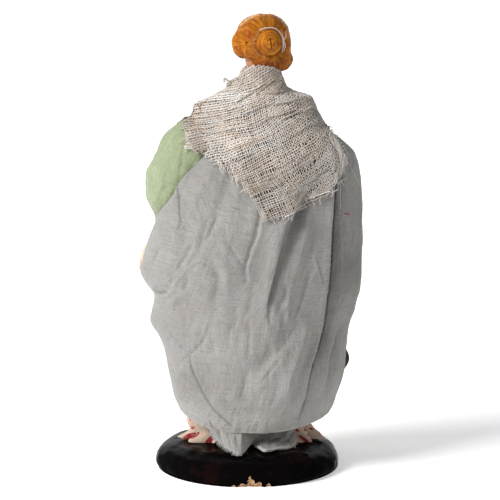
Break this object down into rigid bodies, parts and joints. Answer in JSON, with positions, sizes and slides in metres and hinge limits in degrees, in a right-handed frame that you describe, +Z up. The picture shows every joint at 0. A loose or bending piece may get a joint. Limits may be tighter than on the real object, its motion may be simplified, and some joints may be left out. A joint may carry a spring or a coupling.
{
  "type": "presepe figure",
  "caption": "Standing woman for a nativity scene: painted terracotta head, hands and round base, cloth dress, apron, mantle and gauze shawl.",
  "frame": {"origin": "centre of the base's flat underside", "axes": "+Z up; the woman faces -Y, so the back seen in the picture is at +Y; +X towards her left hand"},
  "size_m": [0.0742, 0.0606, 0.1498],
  "materials": {
    "black_paint": "glossy black paint on terracotta",
    "printed_cotton": "cream cotton with a dark red print",
    "green_cotton": "pale sage green cotton, matt",
    "olive_cotton": "dark olive green cotton, matt",
    "grey_linen": "grey linen, fine plain weave, faint stains",
    "gauze": "coarse open-weave gauze, beige and off-white threads",
    "painted_hair": "orange-brown paint on terracotta, satin",
    "painted_skin": "flesh paint on terracotta, satin"
  },
  "bodies": {
    "root": {"base": "black_paint", "skirt": "printed_cotton", "dress": "green_cotton", "apron": "olive_cotton", "mantle": "grey_linen", "shawl": "gauze", "head": "painted_hair", "left_hand": "painted_skin", "right_hand": "painted_skin"}
  },
  "joints": []
}
